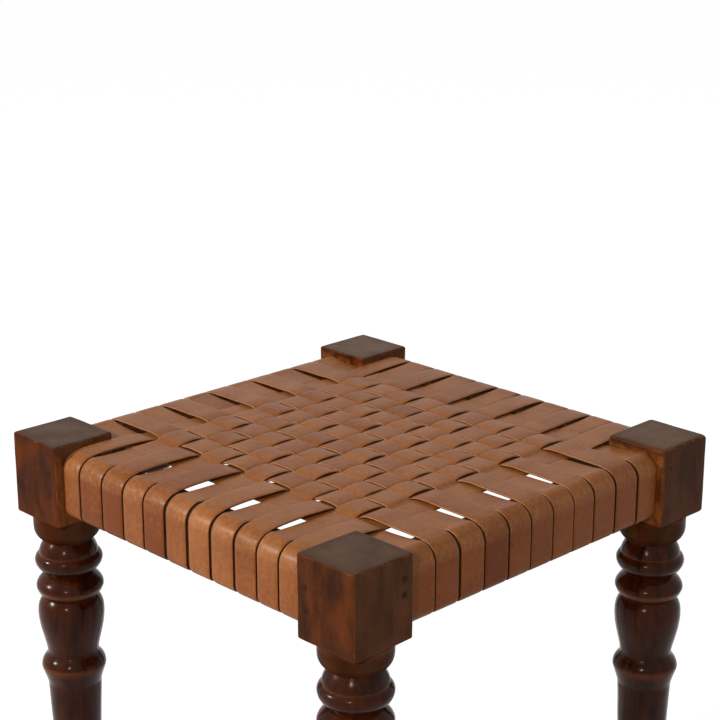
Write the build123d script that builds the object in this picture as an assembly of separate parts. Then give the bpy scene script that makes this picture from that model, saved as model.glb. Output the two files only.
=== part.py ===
from build123d import *
from math import sqrt
import os

# Woven leather footstool on four turned legs, in millimetres.
# The origin is on the floor under the middle of the seat, with +Z up.
# The front of the stool faces -Y and its right side faces +X.

# Overall
seat_side = 400.0                # across the outer faces of two corner blocks
stool_height = 450.0             # from the floor to the tops of the corner blocks

# Corner block at the head of each leg
block_side = 56.0
block_height = 66.0
block_edge_bevel = 1.2

# Turning below each block, from the top down: the height and radius of each member
neck_radius = 27.0
neck_height = 14.0
neck_round_height = 14.5
neck_groove_radius = 20.0
collar_bead_radius = 25.3
collar_bead_height = 9.5
collar_valley_radius = 24.6
collar_ring_radius = 27.7
collar_ring_height = 17.5
collar_groove_radius = 21.2
ring_radius = 27.3
ring_height = 22.0
vase_top_radius = 23.4
vase_belly_radius = 27.0
vase_belly_height = 36.0
vase_turn_radius = 24.1
vase_hollow_height = 15.0
waist_radius = 21.3
shaft_ring_height = 26.0
shaft_ring_radius = 26.8
shaft_top_radius = 21.9
shaft_foot_radius = 14.0
shaft_swell = 0.6                # middle of the shaft outside a straight taper
ankle_ring_top = 56.0            # above the floor
ankle_ring_height = 13.0
ankle_ring_radius = 18.6
foot_neck_radius = 13.0
foot_bulb_radius = 17.2
sole_radius = 12.5

# Rails between the blocks
rail_height = 50.0
rail_thick = 24.0
rail_inset = 8.5                 # outer face of the rail behind the block's outer face
rail_drop = 7.5                  # top of the rail below the top of the block
rail_shoulder_round = 12.5       # upper outer edge, where the straps turn over
rail_lower_round = 5.0
rail_inner_round = 2.5

# Tenons on the rails and their mortises in the blocks
tenon_thick = 12.0
tenon_height = 38.0
tenon_meeting_gap = 1.5          # left between the two tenons that enter one block
mortise_end_gap = 0.5

# Pins that lock the tenons
pin_radius = 1.8
pin_edge_distance = 7.5          # from the block's inner face
pin_past_tenon = 3.0
pin_sides = 8                    # whittled from split wood
pin_fit = 0.05
end_pin_drops = (10.5, 27.5)     # below the tenon's top, through a block's front or back face
side_pin_drops = (3.5, 17.5)     # below the tenon's top, through a block's left or right face

# Leather straps, eleven each way
strap_count = 11
strap_thick = 2.4
strap_gap = 1.4                  # between neighbouring straps
crossing_gap = 0.4               # between two straps where one lies over the other
border_lift = 1.9                # how far a strap rises or dips at the seat's border
strap_end_margin = 1.5           # strap's cut end short of the rail's inner rounding
weave_slope_share = 0.47         # rise over run where a strap changes sides
slope_room = 0.1                 # kept between a sloping strap and the strap that it passes

# Tacks that hold the strap ends under the rails
tack_head_radius = 3.4
tack_head_thick = 0.9
tack_head_sides = 6
tack_shank_side = 1.8
tack_point_side = 0.5
tack_length = 12.0
tack_fit = 0.05

# Places worked out from the sizes above
seat_half = seat_side / 2
field_half = seat_half - block_side
block_centre = seat_half - block_side / 2
block_bottom = stool_height - block_height
rail_outer = seat_half - rail_inset
rail_inner = rail_outer - rail_thick
rail_middle = rail_outer - rail_thick / 2
rail_top = stool_height - rail_drop
rail_bottom = rail_top - rail_height
tenon_middle = rail_bottom + rail_height / 2
tenon_top = tenon_middle + tenon_height / 2
tenon_length = block_side - rail_inset - (rail_thick + tenon_thick) / 2 - tenon_meeting_gap
pin_length = rail_inset + (rail_thick + tenon_thick) / 2 + pin_past_tenon
strap_pitch = 2 * field_half / strap_count
strap_width = strap_pitch - strap_gap
strap_end = rail_inner + rail_inner_round + strap_end_margin
tack_seat = (rail_outer - rail_lower_round + strap_end) / 2
tack_head_top = rail_bottom - strap_thick
strap_places = [(place - (strap_count - 1) / 2) * strap_pitch for place in range(strap_count)]


# Legs

def bead(top, height, upper_radius, crest_radius, lower_radius):
    """Draw a rounded member of the turning and return the height where it ends."""
    end = top - height
    Spline((upper_radius, top), (crest_radius, top - height / 2), (lower_radius, end))
    return end


def turning():
    """The turned part of a leg about the Z axis, from the block down to the floor."""
    with BuildSketch(Plane.XZ) as outline:
        with BuildLine():
            Polyline((0, 0), (0, block_bottom), (neck_radius, block_bottom))
            neck_end = block_bottom - neck_height
            Line((neck_radius, block_bottom), (neck_radius, neck_end))
            z = neck_end - neck_round_height
            TangentArc((neck_radius, neck_end), (neck_groove_radius, z), tangent=(0, -1))
            z = bead(z, collar_bead_height, neck_groove_radius, collar_bead_radius, collar_valley_radius)
            z = bead(z, collar_ring_height, collar_valley_radius, collar_ring_radius, collar_groove_radius)
            z = bead(z, ring_height, collar_groove_radius, ring_radius, vase_top_radius)
            z = bead(z, vase_belly_height, vase_top_radius, vase_belly_radius, vase_turn_radius)
            waist = z - vase_hollow_height
            TangentArc((waist_radius, waist), (vase_turn_radius, z), tangent=(0, 1))
            z = bead(waist, shaft_ring_height, waist_radius, shaft_ring_radius, shaft_top_radius)
            swell_radius = (shaft_top_radius + shaft_foot_radius) / 2 + shaft_swell
            z = bead(z, z - ankle_ring_top, shaft_top_radius, swell_radius, shaft_foot_radius)
            z = bead(ankle_ring_top, ankle_ring_height, shaft_foot_radius, ankle_ring_radius, foot_neck_radius)
            bead(z, z, foot_neck_radius, foot_bulb_radius, sole_radius)
            Line((sole_radius, 0), (0, 0))
        make_face()
    return revolve(outline.sketch, axis=Axis.Z)


def tenon(extra_length=0.0):
    """Right tenon of the front rail, which enters the front right block."""
    length = tenon_length + extra_length
    place = Pos(field_half + length / 2, -rail_middle, tenon_middle)
    return place * Box(length, tenon_thick, tenon_height)


def pin(drop, radius):
    """Pin through the front face of the front right block and the tenon behind it."""
    middle = (field_half + pin_edge_distance, -seat_half, tenon_top - drop)
    face = Plane(origin=middle, x_dir=(1, 0, 0), z_dir=(0, 1, 0))
    return extrude(face * RegularPolygon(radius, pin_sides), amount=pin_length)


def swapped(shape):
    """The same thing on the right side of the stool, mirrored about the front right corner."""
    return mirror(shape, about=Plane(origin=(0, 0, 0), z_dir=(1, 1, 0)))


def corner_pins(radius):
    """The four pins of the front right block."""
    front = [pin(drop, radius) for drop in end_pin_drops]
    side = [swapped(pin(drop, radius)) for drop in side_pin_drops]
    return front + side


def leg():
    """Front right leg: block and turning in one piece, with its mortises and pin holes."""
    block_middle = block_bottom + block_height / 2
    block = Pos(block_centre, -block_centre, block_middle) * Box(block_side, block_side, block_height)
    block = chamfer(block.edges(), block_edge_bevel)
    body = block + Pos(block_centre, -block_centre, 0) * turning()
    mortise = tenon(mortise_end_gap)
    body = body - mortise - swapped(mortise)
    for hole in corner_pins(pin_radius + pin_fit):
        body -= hole
    return body


# Rails

def rail(pin_drops):
    """Front rail with its two tenons, its pin holes and the holes for its tacks."""
    corners = [
        (-rail_outer, rail_bottom), (-rail_outer, rail_top),
        (-rail_inner, rail_top), (-rail_inner, rail_bottom),
    ]
    rounds = [rail_lower_round, rail_shoulder_round, rail_inner_round, rail_inner_round]
    with BuildSketch(Plane.YZ) as section:
        with BuildLine():
            FilletPolyline(*corners, radius=rounds, close=True)
        make_face()
    body = extrude(section.sketch, amount=field_half, both=True)
    right_tenon = tenon()
    body = body + right_tenon + mirror(right_tenon, about=Plane.YZ)
    for drop in pin_drops:
        hole = pin(drop, pin_radius + pin_fit)
        body = body - hole - mirror(hole, about=Plane.YZ)
    for place in strap_places:
        body -= Pos(place, 0, 0) * tack_shank(tack_fit)
    return body


# Tacks

def tack_shank(fit=0.0):
    """Square shank of a front tack, tapering up to its point."""
    root = Plane(origin=(0, -tack_seat, tack_head_top))
    point = root.offset(tack_length)
    root_side = tack_shank_side + 2 * fit
    point_side = tack_point_side + 2 * fit
    return loft([root * Rectangle(root_side, root_side), point * Rectangle(point_side, point_side)])


def tack():
    """Tack under the front rail, with a flat forged head under the strap."""
    head = Plane(origin=(0, -tack_seat, tack_head_top)) * RegularPolygon(tack_head_radius, tack_head_sides)
    return extrude(head, amount=-tack_head_thick) + tack_shank()


# Straps

def weave_line(first_over):
    """Middle line of a strap between the two rails, as points (along, height)."""
    level = rail_top + strap_thick / 2
    lift = (strap_thick + crossing_gap) / 2
    slope = weave_slope_share
    half_sloped = strap_thick / 2 * sqrt(1 + slope**2)
    shift = (strap_thick / 2 + half_sloped + slope_room - lift) / slope - strap_gap / 2
    skive = shift + lift / slope - strap_gap / 2

    over = [(place % 2 == 0) == first_over for place in range(strap_count)]
    lifts = [lift] * strap_count
    lifts[0] = lifts[-1] = border_lift
    heights = [rise if up else -rise for up, rise in zip(over, lifts)]

    start = rail_inner + rail_inner_round / 2
    landing = field_half - skive if over[0] else field_half
    points = [(-start, level), (-landing, level + heights[0])]
    for place in range(strap_count - 1):
        gap_middle = strap_places[place] + strap_pitch / 2
        crossing = gap_middle - shift if over[place] else gap_middle + shift
        points.append((crossing - lifts[place] / slope, level + heights[place]))
        points.append((crossing + lifts[place + 1] / slope, level + heights[place + 1]))
    landing = field_half - skive if over[-1] else field_half
    points += [(landing, level + heights[-1]), (start, level)]
    return points, skive


def strap(first_over):
    """Strap over the middle of the seat from the front rail to the back rail."""
    points, skive = weave_line(first_over)
    level = points[0][1]
    outer = rail_outer + strap_thick / 2
    under = rail_bottom - strap_thick / 2
    upper_round = rail_shoulder_round + strap_thick / 2
    lower_round = rail_lower_round + strap_thick / 2

    with BuildLine(Plane.YZ) as path:
        Line((-strap_end, under), (-outer + lower_round, under))
        TangentArc((-outer + lower_round, under), (-outer, under + lower_round), tangent=(-1, 0))
        Line((-outer, under + lower_round), (-outer, level - upper_round))
        TangentArc((-outer, level - upper_round), (-outer + upper_round, level), tangent=(0, 1))
        Polyline((-outer + upper_round, level), *points, (outer - upper_round, level))
        TangentArc((outer - upper_round, level), (outer, level - upper_round), tangent=(1, 0))
        Line((outer, level - upper_round), (outer, under + lower_round))
        TangentArc((outer, under + lower_round), (outer - lower_round, under), tangent=(0, -1))
        Line((outer - lower_round, under), (strap_end, under))

    half_width = strap_width / 2
    half_thick = strap_thick / 2
    start = Plane(origin=(0, -strap_end, under), x_dir=(1, 0, 0), z_dir=(0, -1, 0))
    with BuildSketch(start) as section:
        Polygon(
            (-half_width, half_thick), (half_width, half_thick),
            (half_width - skive, -half_thick), (-half_width + skive, -half_thick),
            align=None,
        )
    body = sweep(section.sketch, path=path.wire(), transition=Transition.RIGHT)
    hole = tack_shank(tack_fit)
    return body - hole - mirror(hole, about=Plane.XZ)


# The whole stool

# Turn about Z, in degrees, that takes the front side to each side of the stool
side_turns = {"front": 0, "right": 90, "back": 180, "left": 270}

# How the front right corner is moved to each corner of the stool
corner_moves = {
    "front_right": lambda shape: shape,
    "front_left": lambda shape: mirror(shape, about=Plane.YZ),
    "back_right": lambda shape: mirror(shape, about=Plane.XZ),
    "back_left": lambda shape: Rot(0, 0, side_turns["back"]) * shape,
}


def turned_to(side, shape):
    """Turn something made for the front side to one of the four sides of the stool."""
    return Rot(0, 0, side_turns[side]) * shape


def stool():
    """Every piece of the footstool by its name."""
    pieces = {}
    front_right = leg()
    pins = Compound(children=corner_pins(pin_radius))
    for corner, move in corner_moves.items():
        pieces["leg_" + corner] = move(front_right)
        pieces["tenon_pins_" + corner] = move(pins)
    front_tacks = Compound(children=[Pos(place, 0, 0) * tack() for place in strap_places])
    end_rail = rail(end_pin_drops)
    side_rail = rail(side_pin_drops)
    for side in side_turns:
        made = end_rail if side in ("front", "back") else side_rail
        pieces["rail_" + side] = turned_to(side, made)
        pieces["tacks_" + side] = turned_to(side, front_tacks)
    rising = strap(True)
    dipping = strap(False)
    for place, across in enumerate(strap_places):
        number = f"{place + 1:02d}"
        front_back, side_side = (rising, dipping) if place % 2 == 0 else (dipping, rising)
        pieces["strap_front_back_" + number] = Pos(across, 0, 0) * front_back
        pieces["strap_side_side_" + number] = Pos(0, across, 0) * turned_to("right", side_side)
    return pieces


os.makedirs("parts", exist_ok=True)
for name, shape in stool().items():
    export_step(shape, f"parts/{name}.step")
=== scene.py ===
import math

import bmesh
import bpy
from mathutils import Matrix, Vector, noise


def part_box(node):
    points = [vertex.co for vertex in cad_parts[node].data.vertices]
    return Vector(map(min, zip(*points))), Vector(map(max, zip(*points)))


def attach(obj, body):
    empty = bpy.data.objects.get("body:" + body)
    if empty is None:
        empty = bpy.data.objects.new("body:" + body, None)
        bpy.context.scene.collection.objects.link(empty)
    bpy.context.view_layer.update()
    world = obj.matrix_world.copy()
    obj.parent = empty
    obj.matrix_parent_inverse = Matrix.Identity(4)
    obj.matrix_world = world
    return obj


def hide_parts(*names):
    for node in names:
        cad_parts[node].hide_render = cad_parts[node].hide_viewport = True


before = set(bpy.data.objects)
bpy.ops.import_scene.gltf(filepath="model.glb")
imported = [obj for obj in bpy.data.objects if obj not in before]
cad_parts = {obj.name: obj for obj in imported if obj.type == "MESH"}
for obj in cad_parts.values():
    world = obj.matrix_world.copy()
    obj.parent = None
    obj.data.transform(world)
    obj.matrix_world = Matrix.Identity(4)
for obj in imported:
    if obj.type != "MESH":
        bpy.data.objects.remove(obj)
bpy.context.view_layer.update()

mm = 0.001
strap_count = 11
corner_names = ("front_left", "front_right", "back_right", "back_left")

# Places that the frame gives
rail_low, rail_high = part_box("rail_front")
strap_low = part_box("strap_front_back_01")[0]
block_low, block_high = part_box("leg_front_right")
stool_height = block_high[2]
seat_half = block_high[0]
field_half = block_low[0]
rail_outer = -rail_low[1]
rail_inner = -rail_high[1]
rail_bottom = rail_low[2]
rail_top = rail_high[2]
frame_strap_thick = -strap_low[1] - rail_outer
strap_pitch = 2 * field_half / strap_count


def add_object(name, data):
    """A new object in the scene that shows this mesh, lamp or camera."""
    piece = bpy.data.objects.new(name, data)
    bpy.context.scene.collection.objects.link(piece)
    return piece


def corner_sides(corner):
    """Which way a corner lies from the stool's middle: 1 or -1 in x, and 1 or -1 in y."""
    return 1 if "right" in corner else -1, 1 if "back" in corner else -1


def finish_piece(piece, node):
    """Let a finished piece ride on the stool and stand for one part of the frame."""
    for face in piece.data.polygons:
        face.use_smooth = True
    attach(piece, "root")
    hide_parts(node)


class Tree:
    """Adds nodes to a tree, taking a value or another node's socket for each input."""

    def __init__(self, owner):
        self.nodes = owner.nodes
        self.links = owner.links

    def add(self, kind, inputs=None, **settings):
        """Add one node and return its outputs."""
        node = self.nodes.new(kind)
        for name, value in settings.items():
            setattr(node, name, value)
        for key, value in (inputs or {}).items():
            if isinstance(value, bpy.types.NodeSocket):
                self.links.new(value, node.inputs[key])
            else:
                node.inputs[key].default_value = value
        return node.outputs

    def math(self, operation, *values, clamp=False):
        """Add a Math node."""
        return self.add("ShaderNodeMath", dict(enumerate(values)), operation=operation, use_clamp=clamp)[0]

    def times(self, first, second):
        """Multiply two values."""
        return self.math("MULTIPLY", first, second)

    def between(self, value, low, high, start=0.0, end=1.0):
        """Turn a value's rise from low to high into a smooth change from start to end."""
        inputs = {"Value": value, "From Min": low, "From Max": high, "To Min": start, "To Max": end}
        return self.add("ShaderNodeMapRange", inputs, interpolation_type="SMOOTHSTEP")[0]


class Shaping(Tree):
    """A Geometry Nodes tree with named inputs, which is run once on each start mesh."""

    def __init__(self, name, inputs):
        self.group = bpy.data.node_groups.new(name, "GeometryNodeTree")
        super().__init__(self.group)
        interface = self.group.interface
        interface.new_socket("Geometry", in_out="INPUT", socket_type="NodeSocketGeometry")
        for key, kind in inputs.items():
            interface.new_socket(key, in_out="INPUT", socket_type="NodeSocket" + kind)
        interface.new_socket("Geometry", in_out="OUTPUT", socket_type="NodeSocketGeometry")
        self.inputs = self.add("NodeGroupInput")

    def stored(self, geometry, name, value, kind="FLOAT"):
        """Keep a value on the points under a name that the finish reads."""
        inputs = {"Geometry": geometry, "Name": name, "Value": value}
        return self.add("GeometryNodeStoreNamedAttribute", inputs, data_type=kind, domain="POINT")[0]

    def named(self, name):
        """Read a value that the start mesh carries."""
        return self.add("GeometryNodeInputNamedAttribute", {"Name": name}, data_type="FLOAT")[0]

    def end(self, geometry):
        """Make the geometry real, give it its material and pass it out."""
        real = self.add("GeometryNodeRealizeInstances", {"Geometry": geometry})[0]
        finish = {"Geometry": real, "Material": self.inputs["Material"]}
        painted = self.add("GeometryNodeSetMaterial", finish)[0]
        self.links.new(painted, self.nodes.new("NodeGroupOutput").inputs[0])

    def run(self, name, start_mesh, values):
        """Run the tree on a start mesh and return the result as a plain object."""
        start = add_object(name + "_start", start_mesh)
        modifier = start.modifiers.new("shape", "NODES")
        modifier.node_group = self.group
        for item in self.group.interface.items_tree:
            if item.in_out == "INPUT" and item.name in values:
                modifier[item.identifier] = values[item.name]
        depsgraph = bpy.context.evaluated_depsgraph_get()
        mesh = bpy.data.meshes.new_from_object(start.evaluated_get(depsgraph), depsgraph=depsgraph)
        mesh.name = name
        bpy.data.objects.remove(start, do_unlink=True)
        return add_object(name, mesh)


# Woven straps

leather_thick = 1.9 * mm
edge_round = 0.6 * mm
strap_step = 1.5 * mm
shoulder_round = 13.6 * mm         # middle line of a strap, over the rail's upper edge
lower_round = 6.2 * mm
leave_rail = 179 * mm              # from the middle of the seat, where a strap starts to rise or dip
strap_sway = 0.3 * mm
strap_ripple = 0.1 * mm
wave_spread = 0.25                 # share by which a strap's rises differ from crossing to crossing
flatness = 0.45                    # of the wave: 1 is round, less is squarer
strap_end_margin = 4 * mm          # strap's cut end short of the rail's inner face

# The two layers differ: straps from side to side were pulled straighter, and straps from front to
# back wave more over and under them and curl more at their edges.
edge_fall = {"front_back": 0.35 * mm, "side_side": 0.25 * mm}
edge_fall_width = {"front_back": 4.0 * mm, "side_side": 3.0 * mm}
lifts = {"front_back": 2.5 * mm, "side_side": 1.35 * mm}
hangs = {"front_back": 1.1 * mm, "side_side": 0.65 * mm}
# The outermost strap of each layer lies nearly straight, and so low that some of the straps that
# should go under it pass through it
outermost_lift = 0.15 * mm
outermost_hangs = {"front_back": 2.0 * mm, "side_side": 2.25 * mm}
# Next to the rails each strap goes far over or under the first one that it meets:
# its rise or dip just before the middle of that one, and further out
first_crossing_reach = (2 * mm, 15 * mm)
over_first_lifts = {"front_back": (2.1 * mm, 2.4 * mm), "side_side": (2.1 * mm, 1.4 * mm)}
under_first_lifts = {"front_back": (2.3 * mm, 1.4 * mm), "side_side": (2.3 * mm, 1.4 * mm)}
outermost_first_lifts = (2.2 * mm, 2.0 * mm)
# The share of the hang that is reached at the further of those two places
border_hang_share = 0.6
# The share of those rises and dips that is left at the back rail and at the right rail
far_end_share = {"front_back": 0.65, "side_side": 1.0}

# Handmade spacing, in millimetres: how far each gap between two straps is from an even spacing,
# and how wide it is. The first and last gaps are against the blocks.
gap_shifts = {
    "front_back": [0, -1.9, 0.9, 1.5, 1.0, 1.4, 1.6, 2.0, 2.6, 0.9, -1.7, 0],
    "side_side": [0, 4.6, 3.9, 4.2, 4.5, 3.2, 2.1, 0.2, -1.5, -1.3, 0.4, 0],
}
gap_widths = {
    "front_back": [6.0, 1.8, 1.7, 1.7, 2.0, 3.1, 3.4, 2.9, 2.4, 1.4, 1.7, 3.6],
    "side_side": [3.6, 1.6, 2.8, 2.1, 2.3, 1.7, 1.4, 1.6, 1.7, 2.7, 3.0, 3.6],
}
# Shade of each strap, from 0 for the darkest hide to 1 for the palest
strap_shades = {
    "front_back": [0.42, 0.1, 0.0, 0.45, 0.0, 0.43, 0.7, 0.6, 0.42, 0.49, 0.5],
    "side_side": [0.42, 0.3, 0.42, 0.05, 0.28, 0.32, 0.5, 0.45, 0.4, 0.4, 0.52],
}
# Painted shade of the cut edges of each layer, from 0 for dark to 1 for pale: the edges of the straps from
# front to back are painted darker, as they look in shade
painted_edge_shades = {"front_back": 0.5, "side_side": 1.0}


def strap_sides(layer):
    """Where the two edges of each strap of one layer lie, across the seat."""
    places = [place * strap_pitch - field_half + shift * mm for place, shift in enumerate(gap_shifts[layer])]
    halves = [width * mm / 2 for width in gap_widths[layer]]
    return [(places[n] + halves[n], places[n + 1] - halves[n + 1]) for n in range(strap_count)]


def strap_middles(layer):
    """Where the middles of the straps of one layer lie, across the seat."""
    return [(low + high) / 2 for low, high in strap_sides(layer)]


def goes_over_first(layer, number):
    """Whether a strap goes over the first strap that it meets."""
    return (number % 2 == 0) == (layer == "front_back")


def strap_section(layer, wide):
    """Outline across a strap: rounded edges and a face that drops a little towards them."""
    half_wide = wide / 2
    half_thick = leather_thick / 2
    fall = edge_fall[layer]
    fall_width = edge_fall_width[layer]
    flat = half_wide - edge_round
    upper = half_thick - edge_round - fall
    lower = half_thick - edge_round
    round_steps = 5
    shares = (0.94, 0.86, 0.72, 0.4, 0, -0.4, -0.72, -0.86, -0.94)     # points across a face
    points = []
    for side, height, first in ((1, -lower, -90), (1, upper, 0), (-1, upper, 90), (-1, -lower, 180)):
        for step in range(round_steps + 1):
            turn = math.radians(first + 90 * step / round_steps)
            x = side * flat + edge_round * math.cos(turn)
            y = height + edge_round * math.sin(turn)
            points.append((x, y, 0))
        if first == 0:
            for share in shares:
                drop = max(0, (abs(share) * flat - half_wide + fall_width) / fall_width)
                points.append((share * flat, half_thick - fall * drop**2, 0))
        if first == 180:
            points += [(-share * flat, -half_thick, 0) for share in shares]
    mesh = bpy.data.meshes.new("strap_section")
    mesh.from_pydata(points, [(place, (place + 1) % len(points)) for place in range(len(points))], [])
    return mesh


def strap_route(layer, number):
    """The way of one strap, with the crossings that it passes, its rise at each and its hang there."""
    outer = rail_outer + frame_strap_thick / 2
    under = rail_bottom - frame_strap_thick / 2
    level = rail_top + frame_strap_thick / 2
    end = rail_inner + strap_end_margin
    other = "side_side" if layer == "front_back" else "front_back"
    is_outermost = number in (0, strap_count - 1)
    crossings = strap_middles(other)
    first_lifts = (over_first_lifts if goes_over_first(layer, number) else under_first_lifts)[layer]
    if is_outermost:
        first_lifts = outermost_first_lifts
    lift = outermost_lift if is_outermost else lifts[layer]
    hang = outermost_hangs[layer] if is_outermost else hangs[layer]

    # Each stop has its place along the strap, its height, the number of the crossing there, and the
    # rise or dip and the hang from that height
    near, far = first_crossing_reach
    start = [(-end, under, -0.5, 0, 0), (-outer, under, -0.5, 0, 0), (-outer, level, -0.5, 0, 0),
             (-leave_rail, level, -0.5, first_lifts[1], 0),
             (crossings[0] - far, level, 0, first_lifts[1], hang * border_hang_share),
             (crossings[0] - near, level, 0, first_lifts[0], hang)]
    layer_spot = 0.5 if layer == "front_back" else 7.5
    uneven = [1 + wave_spread * noise.noise((0.7 * turn, 1.3 * number, layer_spot))
              for turn in range(strap_count)]
    middle = [(place, level, turn, lift * uneven[turn], hang) for turn, place in enumerate(crossings)][1:-1]
    last = strap_count - 1
    share = far_end_share[layer]
    finish = [(crossings[-1] + near, level, last, first_lifts[0] * share, hang),
              (crossings[-1] + far, level, last, first_lifts[1] * share, hang * border_hang_share)]
    finish += [(-x, z, last + 0.5, rise * share, 0) for x, z, _, rise, _ in reversed(start[:4])]
    stops = start + middle + finish

    mesh = bpy.data.meshes.new("strap_route")
    points = [(stop[0], 0, stop[1]) for stop in stops]
    mesh.from_pydata(points, [(a, a + 1) for a in range(len(stops) - 1)], [])
    for place, name in enumerate(("turn", "rise", "hang")):
        values = [stop[2 + place] for stop in stops]
        mesh.attributes.new(name, "FLOAT", "POINT").data.foreach_set("value", values)
    return mesh


def strap_tree():
    """Shapes one strap: rounds it over the rails, waves it over and under, and sweeps its section."""
    tree = Shaping("woven strap", {
        "Section": "Object", "Shoulder Round": "Float", "Lower Round": "Float", "Step": "Float",
        "First Side": "Float", "Flatness": "Float", "Sway": "Float", "Ripple": "Float",
        "Seed": "Float", "Shade": "Float", "Painted Edge Shade": "Float",
        "Place": "Vector", "Turn": "Vector", "Material": "Material",
    })
    get = tree.inputs
    where = tree.add("GeometryNodeInputPosition")[0]
    parts = tree.add("ShaderNodeSeparateXYZ", {0: where})

    curve = tree.add("GeometryNodeMeshToCurve", {"Mesh": get["Geometry"]})[0]
    is_top = tree.math("GREATER_THAN", parts[2], (rail_top + rail_bottom) / 2)
    rounding = tree.add("ShaderNodeMix", {0: is_top, 2: get["Lower Round"], 3: get["Shoulder Round"]})[0]
    fillet = {"Curve": curve, "Count": 12, "Radius": rounding}
    curve = tree.add("GeometryNodeFilletCurve", fillet, mode="POLY")[0]
    curve = tree.add("GeometryNodeResampleCurve", {"Curve": curve, "Length": get["Step"]}, mode="LENGTH")[0]

    wave = tree.math("COSINE", tree.times(tree.named("turn"), math.pi))
    size = tree.math("POWER", tree.math("ABSOLUTE", wave), get["Flatness"])
    wave = tree.times(tree.times(size, tree.math("SIGN", wave)), get["First Side"])
    rise = tree.math("SUBTRACT", tree.times(wave, tree.named("rise")), tree.named("hang"))
    spot = tree.add("ShaderNodeCombineXYZ", {0: parts[0], 1: get["Seed"]})[0]
    drift = tree.add("ShaderNodeTexNoise", {"Vector": spot, "Scale": 25.0, "Detail": 1.0})[1]
    drift = tree.add("FunctionNodeSeparateColor", {0: drift})
    sideways, upward = [
        tree.times(tree.math("SUBTRACT", value, 0.5), tree.times(reach, 4))
        for value, reach in ((drift[0], get["Sway"]), (drift[1], get["Ripple"]))]
    in_field = tree.between(tree.math("ABSOLUTE", parts[0]), leave_rail, field_half, 0, 1)
    rise = tree.math("ADD", rise, tree.times(upward, in_field))
    shift = tree.add("ShaderNodeCombineXYZ", {1: sideways, 2: rise})[0]
    curve = tree.add("GeometryNodeSetPosition", {"Geometry": curve, "Offset": shift})[0]
    curve = tree.add("GeometryNodeSetCurveNormal", {"Curve": curve, "Normal": (0, 1, 0)}, mode="FREE")[0]
    length = tree.add("GeometryNodeSplineParameter")["Length"]
    curve = tree.stored(curve, "along", length)

    section = tree.add("GeometryNodeObjectInfo", {"Object": get["Section"]})["Geometry"]
    section = tree.add("GeometryNodeMeshToCurve", {"Mesh": section})[0]
    section = tree.stored(section, "section", where, "FLOAT_VECTOR")
    sweep = {"Curve": curve, "Profile Curve": section, "Fill Caps": True}
    body = tree.add("GeometryNodeCurveToMesh", sweep)[0]
    body = tree.stored(body, "seed", get["Seed"])
    body = tree.stored(body, "shade", get["Shade"])
    body = tree.stored(body, "edge_shade", get["Painted Edge Shade"])
    placing = {"Geometry": body, "Translation": get["Place"], "Rotation": get["Turn"]}
    tree.end(tree.add("GeometryNodeTransform", placing)[0])
    return tree


def weave_seat(leather):
    """Both layers of straps, each strap standing for its own part of the frame."""
    tree = strap_tree()
    for layer, turn in (("front_back", 90), ("side_side", 0)):
        for number, (low, high) in enumerate(strap_sides(layer)):
            middle = (low + high) / 2
            node = f"strap_{layer}_{number + 1:02d}"
            section = add_object("section", strap_section(layer, high - low))
            piece = tree.run("woven_" + node, strap_route(layer, number), {
                "Section": section, "Shoulder Round": shoulder_round, "Lower Round": lower_round,
                "Step": strap_step, "First Side": 1.0 if goes_over_first(layer, number) else -1.0,
                "Flatness": flatness, "Sway": strap_sway, "Ripple": strap_ripple,
                "Seed": 1.7 * number + (30.0 if turn else 0.0),
                "Shade": strap_shades[layer][number], "Painted Edge Shade": painted_edge_shades[layer],
                "Place": (middle, 0, 0) if turn else (0, middle, 0),
                "Turn": (0, 0, math.radians(turn)), "Material": leather,
            })
            bpy.data.objects.remove(section, do_unlink=True)
            finish_piece(piece, node)


# Legs

block_side = 57.4 * mm
block_centre = seat_half - block_side / 2
block_heights = {"front_left": 69.3 * mm, "front_right": 65.2 * mm,
                 "back_right": 67 * mm, "back_left": 67 * mm}
block_rounds = {"front_left": 1.9 * mm, "front_right": 1.8 * mm,
                "back_right": 3.4 * mm, "back_left": 2 * mm}
hand_wobble = 0.25 * mm            # unevenness of the hand-shaped wood
wobble_reach = 22 * mm
fine_wobble_reach = 7 * mm
fine_wobble_share = 0.25
wobble_full = 20 * mm              # height where the wobble is full, from none at the sole
ring_points = 96

# How much lower each leg's turning sits than on the front left leg, less than zero where it sits
# higher, and how far its middle lies from the block's
turning_drops = {"front_left": 0, "front_right": -6.2 * mm, "back_right": -1.8 * mm, "back_left": -1 * mm}
turning_shifts = {"front_left": (0, 0), "front_right": (0.4 * mm, 0.4 * mm),
                  "back_right": (-0.8 * mm, -0.8 * mm), "back_left": (0, 0)}

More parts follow.
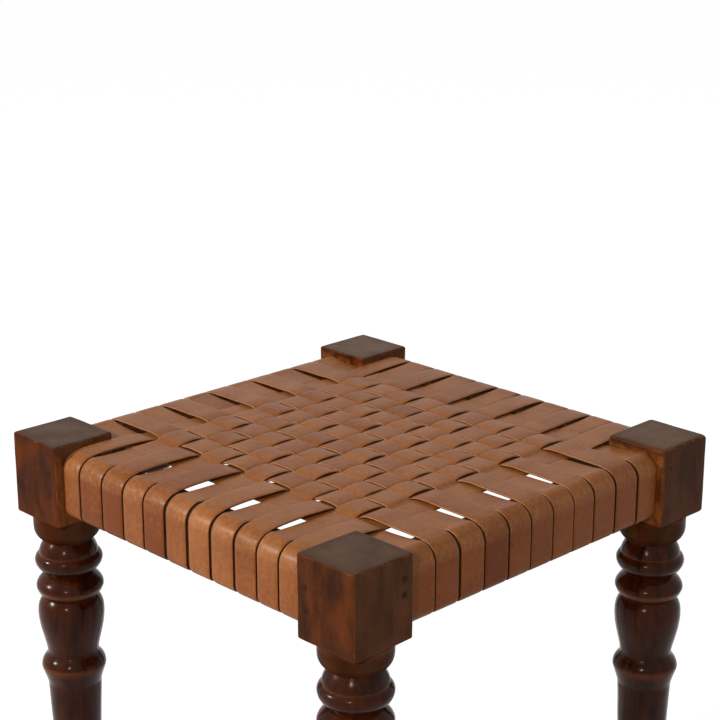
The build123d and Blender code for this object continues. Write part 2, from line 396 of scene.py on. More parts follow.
# Members of the turning as (below the block's top, radius), in millimetres.
# Each member is one smooth curve and meets the next in a crease. The neck starts at the block.
neck_radius = 27.6
members = [
    [(74, 27.6), (80, 27.6), (84.5, 26.9), (88.7, 24.4), (92.5, 19.8)],
    [(92.5, 19.8), (95.7, 21.7), (99, 23.3), (102, 24.3), (104.2, 24.5)],
    [(104.2, 24.5), (105.6, 26.2), (107.6, 27.5), (110, 28.0), (113.5, 27.3), (117.7, 24.6), (122.3, 18.9)],
    [(122.3, 18.9), (124.2, 21.6), (127.3, 25.0), (131, 27.4), (134.3, 28.0), (136.5, 27.3)],
    [(136.5, 27.3), (138.5, 26.5), (141, 24.6), (143.5, 22.8)],
    [(143.5, 22.8), (146, 24.6), (149, 26.1), (152.5, 27.1), (157, 27.5), (162, 27.4), (170, 26.4),
     (179, 24.4), (188, 22.2), (193.8, 21.4), (197, 22.8), (200, 24.9), (203, 26.4), (206.5, 27.1)],
    [(206.5, 27.1), (209.5, 26.4), (214, 24.9), (218, 23.6), (222, 22.4)],
    [(222, 22.4), (258, 20.7), (308, 18.8), (358, 16), (394, 14)],
    [(394, 14), (397.5, 16.9), (401, 18.5), (404, 18), (407, 13)],
    [(407, 13), (414, 15.5), (424, 17.2), (436, 16.4), (450, 12.5)],
]
# Where the turning is painted paler: (below the block's top, reach, amount). The lines at 103.7 and 400 are
# lacquer rubbed thin on crests; those at 136.2 and 205.8 spread down the lower lips of two rings as painted
# bounce light
rubbed_and_lit_lines = [(103.7, 1.2, 0.5), (136.2, 5.0, 0.8), (205.8, 4.0, 0.8), (400, 2.0, 0.6)]
upward_fade = 3                    # times as fast as the paling fades above a line as under it


def smooth_curve(points, steps):
    """Smooth line through given points, with a few steps between each two."""
    line = []
    for place in range(len(points) - 1):
        before = Vector(points[max(place - 1, 0)])
        start = Vector(points[place])
        end = Vector(points[place + 1])
        after = Vector(points[min(place + 2, len(points) - 1)])
        for step in range(steps):
            t = step / steps
            bend = (2 * start + (end - before) * t + (2 * before - 5 * start + 4 * end - after) * t**2
                    + (3 * start - before - 3 * end + after) * t**3) / 2
            line.append(bend)
    line.append(Vector(points[-1]))
    return line


def square_ring(half_side, corner_round):
    """Outline of a square with rounded corners, and how near each point is to a corner."""
    corner_steps = 8
    side_points = ring_points // 4 - corner_steps - 1
    flat = half_side - corner_round
    ring = []
    for quarter in range(4):
        turn = math.radians(90 * quarter)
        for step in range(corner_steps + 1):
            angle = math.radians(90 * step / corner_steps)
            x = flat + corner_round * math.cos(angle)
            y = flat + corner_round * math.sin(angle)
            ring.append((x, y, turn, math.sin(2 * angle)))
        for place in range(side_points):
            ring.append((flat * (1 - 2 * (place + 1) / (side_points + 1)), half_side, turn, 0.0))
    return [(x * math.cos(a) - y * math.sin(a), x * math.sin(a) + y * math.cos(a), near)
            for x, y, a, near in ring]


def round_ring(radius, start_angles):
    """Circle whose points face the same way as those of the square above it."""
    return [(radius * math.cos(angle), radius * math.sin(angle), 0.0) for angle in start_angles]


def rub_and_light_at(depth):
    """How much paler the turning is painted at a depth below the block's top, from rubbed lacquer and
    painted bounce light, fading slower under each line.
    """
    amounts = []
    for place, reach, amount in rubbed_and_lit_lines:
        spread = reach if depth > place else reach / upward_fade
        amounts.append(amount * math.exp(-((depth - place) / spread) ** 2))
    return max(amounts)


def leg_rings(block_height, block_round, drop):
    """Rings from the middle of the block's top down to the sole: (height, outline, edge nearness)."""
    half = block_side / 2
    rings = []
    for share in (0.25, 0.5, 0.72, 0.88, 0.97):
        reach = (half - block_round) * share
        flat_ring = [(x, y, 0.0) for x, y, _ in square_ring(reach, block_round * share)]
        rings.append((stool_height, flat_ring, 0.0))
    edge_steps = 6
    for step in range(edge_steps + 1):
        angle = math.radians(90 * step / edge_steps)
        side = half - block_round * (1 - math.sin(angle))
        height = stool_height - block_round * (1 - math.cos(angle))
        near = math.sin(2 * angle)
        outline = [(x, y, corner * near) for x, y, corner in square_ring(side, block_round)]
        rings.append((height, outline, near))
    side_steps = 24
    for step in range(1, side_steps):
        height = stool_height - block_round - step / side_steps * (block_height - 2 * block_round)
        rings.append((height, square_ring(half, block_round), 0.0))
    for step in range(edge_steps + 1):
        angle = math.radians(90 * step / edge_steps)
        side = half - block_round * (1 - math.cos(angle))
        height = stool_height - block_height + block_round * (1 - math.sin(angle))
        rings.append((height, square_ring(side, block_round), math.sin(2 * angle)))
    angles = [math.atan2(y, x) for x, y, _ in square_ring(half, block_round)]
    neck = [((block_height - drop) / mm, neck_radius)] + members[0]
    shaft = members[7]
    shaft_start, shaft_end = shaft[0][0], shaft[-1][0]
    curve_steps = 8
    for number, member in enumerate([neck] + members[1:]):
        line = smooth_curve(member, curve_steps)
        for depth, radius in line[1 if number else 0:]:
            share = min(1, max(0, (shaft_end - depth) / (shaft_end - shaft_start)))
            height = stool_height - depth * mm - drop * share
            rings.append((height, round_ring(radius * mm, angles), rub_and_light_at(depth)))
    for share in (0.9, 0.5):
        rings.append((0.0, round_ring(members[-1][-1][1] * mm * share, angles), 0.0))
    return rings


def make_leg(corner, block_wood, post_wood):
    """Leg in one piece: softened block, with no mortises, and a turned post under it."""
    x_side, y_side = corner_sides(corner)
    middle = Vector((x_side * block_centre, y_side * block_centre, 0))
    seed = Vector((7.0 * x_side, 11.0 * y_side, 3.0))
    points = [(0, 0, stool_height)]
    edges = [0.0]
    rings = leg_rings(block_heights[corner], block_rounds[corner], turning_drops[corner])
    shift_x, shift_y = turning_shifts[corner]
    turning_start = stool_height - block_heights[corner] - 0.1 * mm      # just under the block
    for height, ring, ring_edge in rings:
        moved = 1 if height < turning_start else 0
        for x, y, near in ring:
            points.append((x + shift_x * moved, y + shift_y * moved, height))
            edges.append(max(near, ring_edge))
    points.append((0, 0, 0))
    edges.append(0.0)
    faces = []
    for place in range(ring_points):
        follow = (place + 1) % ring_points
        faces.append((0, 1 + place, 1 + follow))
        for ring in range(len(rings) - 1):
            a = 1 + ring * ring_points
            b = a + ring_points
            faces.append((a + place, b + place, b + follow, a + follow))
        last = 1 + (len(rings) - 1) * ring_points
        faces.append((last + place, len(points) - 1, last + follow))
    placed = []
    for point in points:
        spot = Vector(point) + middle
        bend = noise.noise_vector(spot / wobble_reach + seed) * hand_wobble
        fine = noise.noise_vector(spot / fine_wobble_reach + seed) * hand_wobble * fine_wobble_share
        amount = min(1.0, point[2] / wobble_full)
        placed.append(spot + (bend + fine) * amount)
    mesh = bpy.data.meshes.new("turned_leg_" + corner)
    mesh.from_pydata(placed, [], faces)
    mesh.attributes.new("edge", "FLOAT", "POINT").data.foreach_set("value", edges)
    mesh.materials.append(block_wood)
    mesh.materials.append(post_wood)
    for face in mesh.polygons:
        if face.center.z < stool_height - members[0][-1][0] * mm - turning_drops[corner]:
            face.material_index = 1
    shape = bmesh.new()
    shape.from_mesh(mesh)
    bmesh.ops.recalc_face_normals(shape, faces=shape.faces)
    shape.to_mesh(mesh)
    shape.free()
    finish_piece(add_object("turned_leg_" + corner, mesh), "leg_" + corner)


# Pins and tacks

pin_radius = 1.6 * mm
pin_edge_distance = 7.5 * mm
pin_depth = 24 * mm
pin_proud = 0.1 * mm
pin_facets = 9
end_pin_heights = (426 * mm, 409 * mm)        # in a block's front or back face
side_pin_heights = (433 * mm, 421 * mm)       # in a block's left or right face
tack_head_radius = 3.4 * mm
tack_head_rise = 1.3 * mm
tack_shank_side = 1.8 * mm
tack_length = 12 * mm
tack_facets = 12


def lathe_mesh(name, outline, sides):
    """Closed turned solid about Z from (radius, height) points, whose ends lie on the axis."""
    shape = bmesh.new()
    rings = []
    for radius, height in outline:
        if radius == 0:
            rings.append([shape.verts.new((0, 0, height))] * sides)
            continue
        turns = [2 * math.pi * side / sides for side in range(sides)]
        rings.append([shape.verts.new((radius * math.cos(t), radius * math.sin(t), height)) for t in turns])
    for upper, lower in zip(rings, rings[1:]):
        for side in range(sides):
            follow = (side + 1) % sides
            corners = []
            for vertex in (upper[side], lower[side], lower[follow], upper[follow]):
                if vertex not in corners:
                    corners.append(vertex)
            shape.faces.new(corners)
    bmesh.ops.recalc_face_normals(shape, faces=shape.faces)
    mesh = bpy.data.meshes.new(name)
    shape.to_mesh(mesh)
    shape.free()
    return mesh


def pin_mesh():
    """Whittled pin with a slightly domed end just proud of the block, pointing up."""
    outline = [(0, pin_proud), (pin_radius * 0.5, pin_proud * 0.85), (pin_radius * 0.85, pin_proud * 0.4),
               (pin_radius, -pin_proud), (pin_radius, -pin_depth), (0, -pin_depth)]
    return lathe_mesh("pin", outline, pin_facets)


def tack_mesh():
    """Domed tack with a tapering shank, head towards -Z and point towards +Z."""
    rise = tack_head_rise
    shank = tack_shank_side / math.sqrt(2)
    outline = [(0, tack_length), (shank * 0.9, 2 * rise), (shank, 0), (tack_head_radius * 0.96, 0),
               (tack_head_radius, -rise * 0.2), (tack_head_radius * 0.85, -rise * 0.6),
               (tack_head_radius * 0.5, -rise * 0.93), (0, -rise)]
    return lathe_mesh("tack", outline, tack_facets)


def fastener_tree():
    """Sets one fastener at each point, turned to the point's own direction and spun at random."""
    tree = Shaping("fasteners", {"Fastener": "Object", "Seed": "Int", "Material": "Material"})
    facing = tree.add("GeometryNodeInputNamedAttribute", {"Name": "facing"}, data_type="FLOAT_VECTOR")[0]
    aim = tree.add("FunctionNodeAlignRotationToVector", {"Vector": facing}, axis="Z")[0]
    tilt = 0.04
    swing = 3.1
    limits = {"Min": (-tilt, -tilt, -swing), "Max": (tilt, tilt, swing), "Seed": tree.inputs["Seed"]}
    spin = tree.add("FunctionNodeRandomValue", limits, data_type="FLOAT_VECTOR")[0]
    spun = {"Rotation": aim, "Rotate By": spin}
    turn = tree.add("FunctionNodeRotateRotation", spun, rotation_space="LOCAL")[0]
    fastener = tree.add("GeometryNodeObjectInfo", {"Object": tree.inputs["Fastener"]})["Geometry"]
    placed = tree.add("GeometryNodeInstanceOnPoints",
                      {"Points": tree.inputs["Geometry"], "Instance": fastener, "Rotation": turn})[0]
    tree.end(placed)
    return tree


def fastener_points(places, facings):
    """Start mesh for the fasteners: one loose point each, with the way that it faces."""
    mesh = bpy.data.meshes.new("fastener_points")
    mesh.from_pydata(places, [], [])
    values = [part for facing in facings for part in facing]
    mesh.attributes.new("facing", "FLOAT_VECTOR", "POINT").data.foreach_set("vector", values)
    return mesh


def drive_fasteners(pin_wood, iron):
    """Pins in the blocks and tacks under the rails."""
    tree = fastener_tree()
    pin = add_object("pin", pin_mesh())
    tack = add_object("tack", tack_mesh())
    for number, corner in enumerate(corner_names):
        x_side, y_side = corner_sides(corner)
        near = field_half + pin_edge_distance
        places = [(x_side * near, y_side * seat_half, height) for height in end_pin_heights]
        facings = [(0, y_side, 0)] * 2
        places += [(x_side * seat_half, y_side * near, height) for height in side_pin_heights]
        facings += [(x_side, 0, 0)] * 2
        values = {"Fastener": pin, "Seed": number, "Material": pin_wood}
        piece = tree.run("pins_" + corner, fastener_points(places, facings), values)
        finish_piece(piece, "tenon_pins_" + corner)
    for number, side in enumerate(("front", "right", "back", "left")):
        low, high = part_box("tacks_" + side)
        across = "x" if side in ("front", "back") else "y"
        middles = strap_middles("front_back" if across == "x" else "side_side")
        seat = rail_bottom - (frame_strap_thick + leather_thick) / 2
        if across == "x":
            places = [(middle, (low[1] + high[1]) / 2, seat) for middle in middles]
        else:
            places = [((low[0] + high[0]) / 2, middle, seat) for middle in middles]
        values = {"Fastener": tack, "Seed": 10 + number, "Material": iron}
        piece = tree.run("domed_tacks_" + side, fastener_points(places, [(0, 0, 1)] * strap_count), values)
        finish_piece(piece, "tacks_" + side)
    for helper in (pin, tack):
        bpy.data.objects.remove(helper, do_unlink=True)


# Finishes

change_reach = 0.1                 # a finish that differs across the stool changes from -0.1 to 0.1 m


class Finish(Tree):
    """A material's node tree around its Principled shader."""

    def __init__(self, name, **fixed):
        self.material = bpy.data.materials.new(name)
        self.material.use_nodes = True
        super().__init__(self.material.node_tree)
        self.shader = self.nodes["Principled BSDF"]
        for key, value in fixed.items():
            self.shader.inputs[key.replace("_", " ")].default_value = value

    def join(self, **sockets):
        """Link sockets to the shader's inputs."""
        for key, socket in sockets.items():
            self.links.new(socket, self.shader.inputs[key.replace("_", " ")])

    def attribute(self, name):
        """Read a value or vector that the mesh carries: outputs Color, Vector, Fac."""
        return self.add("ShaderNodeAttribute", attribute_name=name)

    def noise(self, vector, scale, detail=2.0, roughness=0.5, distortion=0.0):
        """Value of a noise pattern."""
        inputs = {"Vector": vector, "Scale": scale, "Detail": detail, "Roughness": roughness,
                  "Distortion": distortion}
        return self.add("ShaderNodeTexNoise", inputs)[0]

    def figure(self, scale, detail, roughness=0.5, distortion=0.0, vector=None):
        """Noise pattern with a scale for each axis, by object coordinates or another vector."""
        source = vector or self.add("ShaderNodeTexCoord")["Object"]
        stretched = self.add("ShaderNodeMapping", {"Vector": source, "Scale": scale})[0]
        return self.noise(stretched, 1.0, detail, roughness, distortion)

    def spread(self, pattern, start=0.0, end=1.0):
        """Turn the usual reach of a noise pattern into a smooth change from start to end."""
        return self.between(pattern, 0.3, 0.7, start, end)

    def object_parts(self):
        """The x, y and z of a point of the object."""
        return self.add("ShaderNodeSeparateXYZ", {0: self.add("ShaderNodeTexCoord")["Object"]})

    def mix(self, amount, first, second):
        """Mix two colours."""
        return self.add("ShaderNodeMix", {0: amount, 6: first, 7: second}, data_type="RGBA")[2]

    def bump(self, height, strength, distance, normal=None):
        """Raise the surface where the height is more."""
        inputs = {"Height": height, "Strength": strength, "Distance": distance}
        if normal:
            inputs["Normal"] = normal
        return self.add("ShaderNodeBump", inputs)[0]


def colour(red, green, blue):
    """A colour for a socket."""
    return (red, green, blue, 1.0)


def make_leather():
    """Vegetable-tanned leather in warm mid brown: fine grain, creases and scuffs, with painted shade on cut
    edges, creases, pores and hanging parts, and painted sheen on the shoulders.
    """
    finish = Finish("tan leather", Specular_IOR_Level=0.13)
    section = finish.add("ShaderNodeSeparateXYZ", {0: finish.attribute("section")["Vector"]})
    along = finish.attribute("along")["Fac"]
    seed = finish.attribute("seed")["Fac"]
    shade = finish.attribute("shade")["Fac"]
    spot = finish.add("ShaderNodeCombineXYZ", {0: along, 1: section[0], 2: seed})[0]
    parts = finish.object_parts()
    height = parts[2]

    # The seat is faded more evenly than the parts that hang over the rails
    seat_start = (rail_top - 6 * mm, rail_top - 1 * mm)
    faded = finish.between(height, *seat_start, 0, 0.65)
    shade = finish.add("ShaderNodeMix", {0: faded, 2: shade, 3: 0.43})[0]
    patches = finish.noise(spot, 22.0, 3.0)
    tone = finish.math("ADD", shade, finish.spread(patches, -0.13, 0.13))
    mottle = finish.noise(spot, 240.0, 4.0, 0.7)
    tone = finish.math("ADD", tone, finish.spread(mottle, -0.18, 0.18), clamp=True)
    hide = finish.mix(tone, colour(0.19, 0.048, 0.004), colour(0.435, 0.183, 0.06))
    # Painted shade: straps are painted darker where they hang over the rails than where they lie, and
    # browner over the left and right rails, for the lesser light on those sides
    hanging_painted_shade = finish.between(height, rail_top - 4 * mm, rail_top - 14 * mm)
    side_rail_painted_shade = finish.between(finish.math("ABSOLUTE", parts[0]), rail_inner, rail_outer)
    tint = finish.mix(side_rail_painted_shade, colour(0.9, 0.82, 0.8), colour(0.875, 0.71, 0.52))
    tinted = {0: 1.0, 6: hide, 7: tint}
    painted_shade_hide = finish.add("ShaderNodeMix", tinted, data_type="RGBA", blend_type="MULTIPLY")[2]
    hide = finish.mix(hanging_painted_shade, hide, painted_shade_hide)

    creases = finish.figure((320, 26, 1), 3.0, 0.6, 0.6, spot)
    off_crease = finish.math("ABSOLUTE", finish.math("SUBTRACT", creases, 0.5))
    crease_line = finish.between(off_crease, 0.0, 0.035, 1, 0)
    crease_area = finish.between(finish.noise(spot, 30.0, 1.0), 0.52, 0.66)
    crease_line = finish.times(crease_line, crease_area)
    # Painted shade: the leather is painted darker along the crease lines, as shade in the creases, which the
    # bump also sinks
    hide = finish.mix(finish.times(crease_line, 0.35), hide, colour(0.14, 0.045, 0.018))

    scuffs = finish.between(finish.figure((14, 700, 1), 3.0, 0.7, vector=spot), 0.66, 0.74)
    scuffs = finish.times(scuffs, finish.between(finish.noise(spot, 38.0, 1.0), 0.5, 0.62))
    hide = finish.mix(finish.times(scuffs, 0.25), hide, colour(0.55, 0.3, 0.17))

    # Rubbed wear and painted sheen: the shoulders over the rails' upper edges are painted paler, in streaks
    # of rubbed leather and in a steady band of painted sheen where the straps bend
    on_shoulder = finish.times(finish.between(height, rail_top - 16 * mm, rail_top - 9 * mm),
                               finish.between(height, rail_top, rail_top - 4 * mm))
    rubs_and_painted_sheen = finish.between(finish.figure((170, 330, 1), 4.0, 0.7, vector=spot), 0.52, 0.68)
    rubs_and_painted_sheen = finish.times(finish.math("MULTIPLY_ADD", rubs_and_painted_sheen, 0.3, 0.1), on_shoulder)
    hide = finish.mix(rubs_and_painted_sheen, hide, colour(0.58, 0.31, 0.15))

    cells = {"Vector": spot, "Scale": 1100.0, "Randomness": 1.0}
    pores = finish.add("ShaderNodeTexVoronoi", cells)["Distance"]
    pore = finish.between(pores, 0.0, 0.35, 1, 0)
    # Painted shade: the leather is painted darker in the pores, as shade in the small pits, which the grain
    # bump also sinks
    hide = finish.mix(finish.times(pore, 0.3), hide, colour(0.13, 0.042, 0.016))

    # Painted shade on the cut edges: pale on the seat for the straps from side to side, darker for the
    # straps from front to back, and dark where the straps hang over the rails
    edge_shade = finish.attribute("edge_shade")["Fac"]
    edge = finish.between(section[1], leather_thick * 0.32, leather_thick * 0.18)
    on_seat = finish.between(height, *seat_start, 0.2, 1)
    cut_colour_and_shade = finish.mix(finish.times(edge_shade, on_seat), colour(0.11, 0.04, 0.014),
                            colour(0.5, 0.235, 0.115))
    cut_colour_and_shade = finish.mix(finish.spread(finish.noise(spot, 400.0, 2.0), 0, 0.4),
                            cut_colour_and_shade, colour(0.16, 0.055, 0.022))
    # Painted shadow: the lower part of each cut edge is painted nearly black, as the dark line under an
    # edge, starting higher on the straps from front to back
    below = finish.math("ADD", section[1], finish.times(edge_shade, 0.24 * leather_thick))
    painted_edge_shadow = finish.between(below, 0.2 * leather_thick, 0.04 * leather_thick)
    cut_colour_and_shade = finish.mix(painted_edge_shadow, cut_colour_and_shade, colour(0.05, 0.018, 0.008))
    body = finish.mix(edge, hide, cut_colour_and_shade)
    under = finish.between(section[1], -leather_thick * 0.4, -leather_thick * 0.48)
    flesh = finish.mix(finish.noise(spot, 300.0, 4.0, 0.7), colour(0.17, 0.085, 0.045),
                       colour(0.28, 0.16, 0.09))
    body = finish.mix(under, body, flesh)

    rough = finish.spread(mottle, 0.34, 0.46)
    rough = finish.math("ADD", rough, finish.times(under, 0.4), clamp=True)
    rough = finish.math("SUBTRACT", rough, finish.times(on_shoulder, 0.08))
    grain = finish.math("ADD", finish.noise(spot, 900.0, 3.0, 0.6), finish.times(pore, -0.6))
    normal = finish.bump(grain, 0.35, 0.12 * mm)
    normal = finish.bump(crease_line, 0.5, -0.25 * mm, normal)
    normal = finish.bump(patches, 0.6, 0.5 * mm, normal)
    finish.join(Base_Color=body, Roughness=rough, Normal=normal)
    return finish.material


def make_block_wood():
    """Walnut lacquer rubbed thin on blocks and necks: smoky streaks, worn edges, raw wood by the rails, with
    painted light: paler sides, sheen on the tops, highlight along upright edges, shade on the necks.
    """
    finish = Finish("rubbed walnut lacquer", Specular_IOR_Level=0.025)
    coordinates = finish.add("ShaderNodeTexCoord")
    parts = finish.add("ShaderNodeSeparateXYZ", {0: coordinates["Object"]})
    facing = finish.add("ShaderNodeSeparateXYZ", {0: coordinates["Normal"]})
    clouds = finish.figure((40, 40, 22), 3.0, 0.5, 0.5)
    streaks = finish.figure((110, 110, 30), 4.0, 0.6, 0.4)
    grain = finish.figure((600, 600, 350), 3.0, 0.7)
    tone = finish.math("ADD", finish.between(clouds, 0.34, 0.66, 0.1, 0.75),
                       finish.between(streaks, 0.34, 0.66, -0.12, 0.2))
    tone = finish.math("ADD", tone, finish.spread(grain, -0.13, 0.13), clamp=True)
    wood = finish.mix(tone, colour(0.034, 0.0125, 0.006), colour(0.132, 0.036, 0.0095))
    # Faces to the front and back are warmer on the left blocks, and side faces darker on the back ones
    warm_wood = finish.mix(tone, colour(0.034, 0.0095, 0.003), colour(0.132, 0.029, 0.0045))
    wood = finish.mix(finish.between(parts[0], change_reach, -change_reach), wood, warm_wood)
    # Painted light: side faces, found by their normal, are painted paler and less red than the front and
    # back faces, as the light and sheen fall on them, and darker towards the back
    side_light_mask = finish.between(finish.math("ABSOLUTE", facing[0]), 0.5, 0.9)
    side_wood_painted_light = finish.mix(tone, colour(0.074, 0.032, 0.0165), colour(0.15, 0.062, 0.03))
    darker_back = finish.between(parts[1], -change_reach, change_reach, 0, 0.2)
    side_wood_painted_light = finish.mix(darker_back, side_wood_painted_light, colour(0.03, 0.012, 0.006))
    wood = finish.mix(side_light_mask, wood, side_wood_painted_light)

    # Top faces, found by their normal, get their own greyer, paler wood, partly the top's own colour and
    # partly painted sheen; the back blocks' tops are painted paler still, as painted reflection, and the
    # tops are darker towards the rim
    top_clouds = finish.figure((40, 40, 40), 4.0, 0.6, 0.4)
    top_wood_and_sheen = finish.mix(finish.spread(top_clouds), colour(0.08, 0.041, 0.024),
                          colour(0.12, 0.065, 0.038))
    painted_back_sheen = finish.between(parts[1], -change_reach, change_reach, 0.0, 0.36)
    top_wood_and_sheen = finish.mix(painted_back_sheen, top_wood_and_sheen, colour(0.21, 0.11, 0.06))
    off_middle = []
    for part in (parts[0], parts[1]):
        from_middle = finish.math("SUBTRACT", finish.math("ABSOLUTE", part), block_centre)
        off_middle.append(finish.math("ABSOLUTE", from_middle))
    farthest = finish.math("MAXIMUM", *off_middle)
    rim = finish.between(farthest, block_side / 2 - 14 * mm, block_side / 2 - 1 * mm)
    top_wood_and_sheen = finish.mix(finish.times(rim, 0.35), top_wood_and_sheen, colour(0.04, 0.018, 0.01))
    wood = finish.mix(finish.between(facing[2], 0.6, 0.97), wood, top_wood_and_sheen)

    # Paler edges: worn through in chips, and a steady paler line along the upright edges, which is painted
    # highlight
    edge = finish.attribute("edge")["Fac"]
    chips = finish.between(finish.figure((150, 150, 150), 3.0, 0.6), 0.53, 0.66)
    upright_edge_highlight = finish.between(parts[2], stool_height - 3 * mm, stool_height - 10 * mm, 0.03, 0.2)
    chips_and_highlight = finish.math("MULTIPLY_ADD", chips, 0.45, upright_edge_highlight)
    worn_and_highlit = finish.times(finish.between(edge, 0.45, 1.0), chips_and_highlight)
    wood = finish.mix(worn_and_highlit, wood, colour(0.27, 0.105, 0.042))

    # Dark stain around the pins, on the front blocks
    stain = None
    for across, heights in ((0, end_pin_heights), (1, side_pin_heights)):
        for height in heights:
            spot = finish.add("ShaderNodeCombineXYZ", {
                0: finish.math("ABSOLUTE", parts[0]), 1: finish.math("ABSOLUTE", parts[1]), 2: parts[2]})[0]
            place = [seat_half, seat_half, height]
            place[across] = field_half + pin_edge_distance
            away = finish.add("ShaderNodeVectorMath", {0: spot, 1: place}, operation="DISTANCE")[1]
            near_pin = finish.between(away, pin_radius + 3 * mm, pin_radius - 0.5 * mm)
            stain = finish.math("MAXIMUM", stain, near_pin) if stain else near_pin
    in_front = finish.between(parts[1], change_reach, -change_reach, 0, 0.7)
    stain = finish.times(stain, in_front)
    wood = finish.mix(stain, wood, colour(0.025, 0.011, 0.007))

    inner = block_centre - block_side / 2
    inner_x, inner_y = [
        finish.between(finish.math("ABSOLUTE", part), inner + 1.2 * mm, inner + 0.4 * mm)
        for part in (parts[0], parts[1])]
    scrape = finish.figure((85, 85, 55), 4.0, 0.6, 0.4)
    near_rail = finish.between(parts[2], stool_height - 2 * mm, stool_height - 9 * mm)
    by_rail = finish.times(finish.math("MAXIMUM", inner_x, inner_y), near_rail)
    raw = finish.times(by_rail, finish.between(scrape, 0.42, 0.56, 0.1, 0.9))
    raw_wood = finish.mix(grain, colour(0.12, 0.035, 0.009), colour(0.34, 0.125, 0.035))
    wood = finish.mix(raw, wood, raw_wood)

    # Painted shade: the neck just under the block is painted darker, as shade under the block
    neck_painted_shade = finish.between(parts[2], stool_height - 66 * mm, stool_height - 72 * mm)
    wood = finish.mix(finish.times(neck_painted_shade, 0.5), wood, colour(0.03, 0.009, 0.004))

    smear = finish.figure((90, 90, 40), 3.0)
    rough = finish.math("ADD", finish.spread(smear, 0.26, 0.38), finish.times(raw, 0.3))
    rough = finish.math("ADD", rough, finish.between(facing[2], -0.1, -0.6, 0, 0.5))
    normal = finish.bump(grain, 0.12, 0.1 * mm)
    normal = finish.bump(clouds, 0.3, 0.6 * mm, normal)
    normal = finish.bump(scrape, finish.times(raw, 0.6), 0.4 * mm, normal)
    finish.join(Base_Color=wood, Roughness=rough, Normal=normal)
    return finish.material


def make_post_wood():
    """Full glossy walnut lacquer on the turnings, paler along some crests where rubbed thinner and, as
    painted bounce light, on two lower lips.
    """
    finish = Finish("glossy walnut lacquer", Specular_IOR_Level=0.09)
    clouds = finish.figure((60, 60, 16), 4.0, 0.55, 0.8)
    streaks = finish.figure((140, 140, 14), 3.0, 0.6, 0.4)
    fibres = finish.figure((600, 600, 30), 3.0, 0.6)
    tone = finish.math("ADD", finish.between(clouds, 0.32, 0.68, 0.0, 0.6),
                       finish.between(streaks, 0.32, 0.68, 0.0, 0.35))
    tone = finish.math("ADD", tone, finish.spread(fibres, -0.04, 0.04), clamp=True)
    wood = finish.mix(tone, colour(0.016, 0.0039, 0.0013), colour(0.072, 0.0158, 0.0033))
    rub_and_light = finish.attribute("edge")["Fac"]
    # Paler along the lines of the turning: lacquer rubbed thinner on crests, and painted bounce light on two
    # lower lips
    wood = finish.mix(finish.times(rub_and_light, 0.62), wood, colour(0.19, 0.058, 0.015))
    smear = finish.figure((90, 90, 40), 3.0)
    rough = finish.spread(smear, 0.15, 0.21)
    normal = finish.bump(fibres, 0.07, 0.1 * mm)
    normal = finish.bump(streaks, 0.15, 0.4 * mm, normal)
    finish.join(Base_Color=wood, Roughness=rough, Normal=normal)
    return finish.material


def make_plain_wood(name, along_x):
    """Dark stained hardwood of the rails, with its grain along the rail."""
    finish = Finish(name, Specular_IOR_Level=0.1)
    stretch = (10, 110, 110) if along_x else (110, 10, 110)
    bands = finish.figure(stretch, 3.0, 0.55, 0.5)
    fibres = finish.figure(tuple(5 * part for part in stretch), 3.0, 0.7)
    tone = finish.math("ADD", finish.spread(bands, 0, 0.7), finish.spread(fibres, 0, 0.3))
    wood = finish.mix(tone, colour(0.045, 0.019, 0.008), colour(0.11, 0.05, 0.022))
    finish.join(Base_Color=wood, Roughness=finish.spread(fibres, 0.6, 0.75),
                Normal=finish.bump(fibres, 0.4, 0.2 * mm))
    return finish.material


def make_pin_wood():
    """End grain of the pins: nearly black in side faces, browner in front and back faces and at the back."""
    finish = Finish("pin wood", Specular_IOR_Level=0.03)
    fibres = finish.figure((900, 900, 900), 3.0)
    wood = finish.mix(fibres, colour(0.022, 0.01, 0.006), colour(0.045, 0.019, 0.011))
    parts = finish.object_parts()
    in_end = finish.math("GREATER_THAN", finish.math("ABSOLUTE", parts[1]), seat_half - 1 * mm)
    wood = finish.mix(finish.times(in_end, 0.6), wood, colour(0.05, 0.017, 0.008))
    wood = finish.mix(finish.between(parts[1], 0.1, 0.15, 0, 0.7), wood, colour(0.075, 0.03, 0.015))
    finish.join(Base_Color=wood, Roughness=finish.spread(fibres, 0.6, 0.8),
                Normal=finish.bump(fibres, 0.3, 0.1 * mm))
    return finish.material


def make_tack_iron():
    """Blackened iron with rust in places."""
    finish = Finish("tack iron")
    rust = finish.between(finish.figure((260, 260, 260), 4.0, 0.6), 0.45, 0.62)
    iron = finish.mix(rust, colour(0.11, 0.1, 0.095), colour(0.13, 0.05, 0.025))
    finish.join(Base_Color=iron, Metallic=finish.math("SUBTRACT", 1.0, rust),
                Roughness=finish.between(rust, 0, 1, 0.35, 0.8), Normal=finish.bump(rust, 0.4, 0.1 * mm))
    return finish.material


# Camera, lamps, floor and surroundings

sensor_width = 36
focal_length = 90.79
camera_place = (997.2 * mm, -971.6 * mm, stool_height + 498.86 * mm)
camera_down = 17.41                # degrees below the horizontal
camera_heading = 45.73             # degrees to the left of the back
lamp_aim_height = stool_height * 0.8
floor_reach = 14.0
floor_glow = 0.89
world_light = 0.34                 # strength that lights the stool
world_glow = 0.66                  # added where the surroundings are seen, which makes them white


def add_camera():
    """Camera at the photograph's angle, above the seat and out beyond its near corner."""
    lens = bpy.data.cameras.new("camera")
    lens.sensor_width = sensor_width
    lens.lens = focal_length
    camera = add_object("camera", lens)
    camera.location = camera_place
    camera.rotation_euler = (math.radians(90 - camera_down), 0, math.radians(camera_heading))
    bpy.context.scene.camera = camera


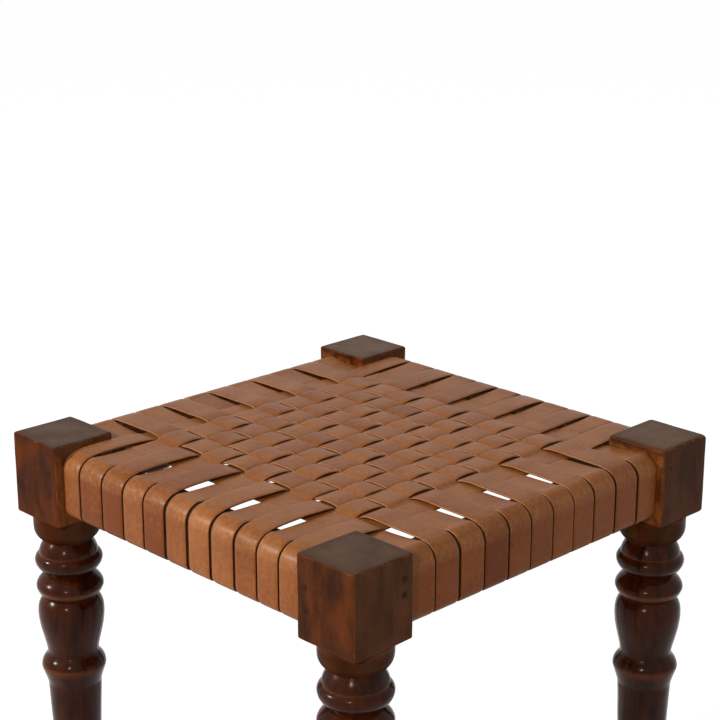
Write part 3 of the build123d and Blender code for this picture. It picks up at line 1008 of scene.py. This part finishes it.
def add_lamp(name, radius, power, heading, rise, distance, tint=(1.0, 1.0, 1.0)):
    """Round lamp aimed just under the seat, by its heading to the right of the front and its rise."""
    lamp = bpy.data.lights.new(name, "AREA")
    lamp.color = tint
    lamp.shape = "DISK"
    lamp.size = 2 * radius
    lamp.energy = power
    holder = add_object(name, lamp)
    turn = math.radians(heading)
    up = math.radians(rise)
    aim = Vector((0, 0, lamp_aim_height))
    away = Vector((math.sin(turn) * math.cos(up), -math.cos(turn) * math.cos(up), math.sin(up)))
    holder.location = aim + away * distance
    holder.rotation_euler = away.to_track_quat("Z", "Y").to_euler()


def seen_directly(tree):
    """1 for rays of the camera and for rays by reflection or through glass, else 0."""
    path = tree.add("ShaderNodeLightPath")
    seen = tree.math("MAXIMUM", path["Is Camera Ray"], path["Is Glossy Ray"])
    return tree.math("MAXIMUM", seen, path["Is Transmission Ray"])


def add_floor():
    """Plain pale floor, which the camera sees as white with a soft shadow."""
    reach = floor_reach
    corners = [(-reach, -reach, 0), (reach, -reach, 0), (reach, reach, 0), (-reach, reach, 0)]
    mesh = bpy.data.meshes.new("floor")
    mesh.from_pydata(corners, [], [(0, 1, 2, 3)])
    finish = Finish("pale floor", Roughness=0.9, Specular_IOR_Level=0.0, Emission_Color=colour(1, 1, 1))
    seen = seen_directly(finish)
    shadowed = finish.mix(seen, colour(0.45, 0.45, 0.45), colour(0.3, 0.3, 0.3))
    finish.join(Base_Color=shadowed, Emission_Strength=finish.times(seen, floor_glow))
    mesh.materials.append(finish.material)
    add_object("floor", mesh)


def add_world():
    """Even studio light, white where it is seen."""
    world = bpy.data.worlds.new("studio")
    bpy.context.scene.world = world
    world.use_nodes = True
    tree = Tree(world.node_tree)
    strength = tree.math("MULTIPLY_ADD", seen_directly(tree), world_glow, world_light)
    background = tree.nodes["Background"]
    background.inputs["Color"].default_value = colour(1, 1, 1)
    tree.links.new(strength, background.inputs["Strength"])


weave_seat(make_leather())
block_wood = make_block_wood()
post_wood = make_post_wood()
for corner_name in corner_names:
    make_leg(corner_name, block_wood, post_wood)
drive_fasteners(make_pin_wood(), make_tack_iron())
for rail_sides, rail_wood in ((("front", "back"), make_plain_wood("rail wood across", True)),
                              (("left", "right"), make_plain_wood("rail wood deep", False))):
    for rail_side in rail_sides:
        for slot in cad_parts["rail_" + rail_side].material_slots:
            slot.material = rail_wood

add_camera()
add_lamp("right lamp", radius=0.13, power=17.5, heading=29, rise=27, distance=2.45,
         tint=(1.0, 0.71, 0.46))
add_lamp("left lamp", radius=0.16, power=34, heading=-34, rise=27, distance=2.4)
add_floor()
add_world()
bpy.context.scene.view_settings.view_transform = "Standard"
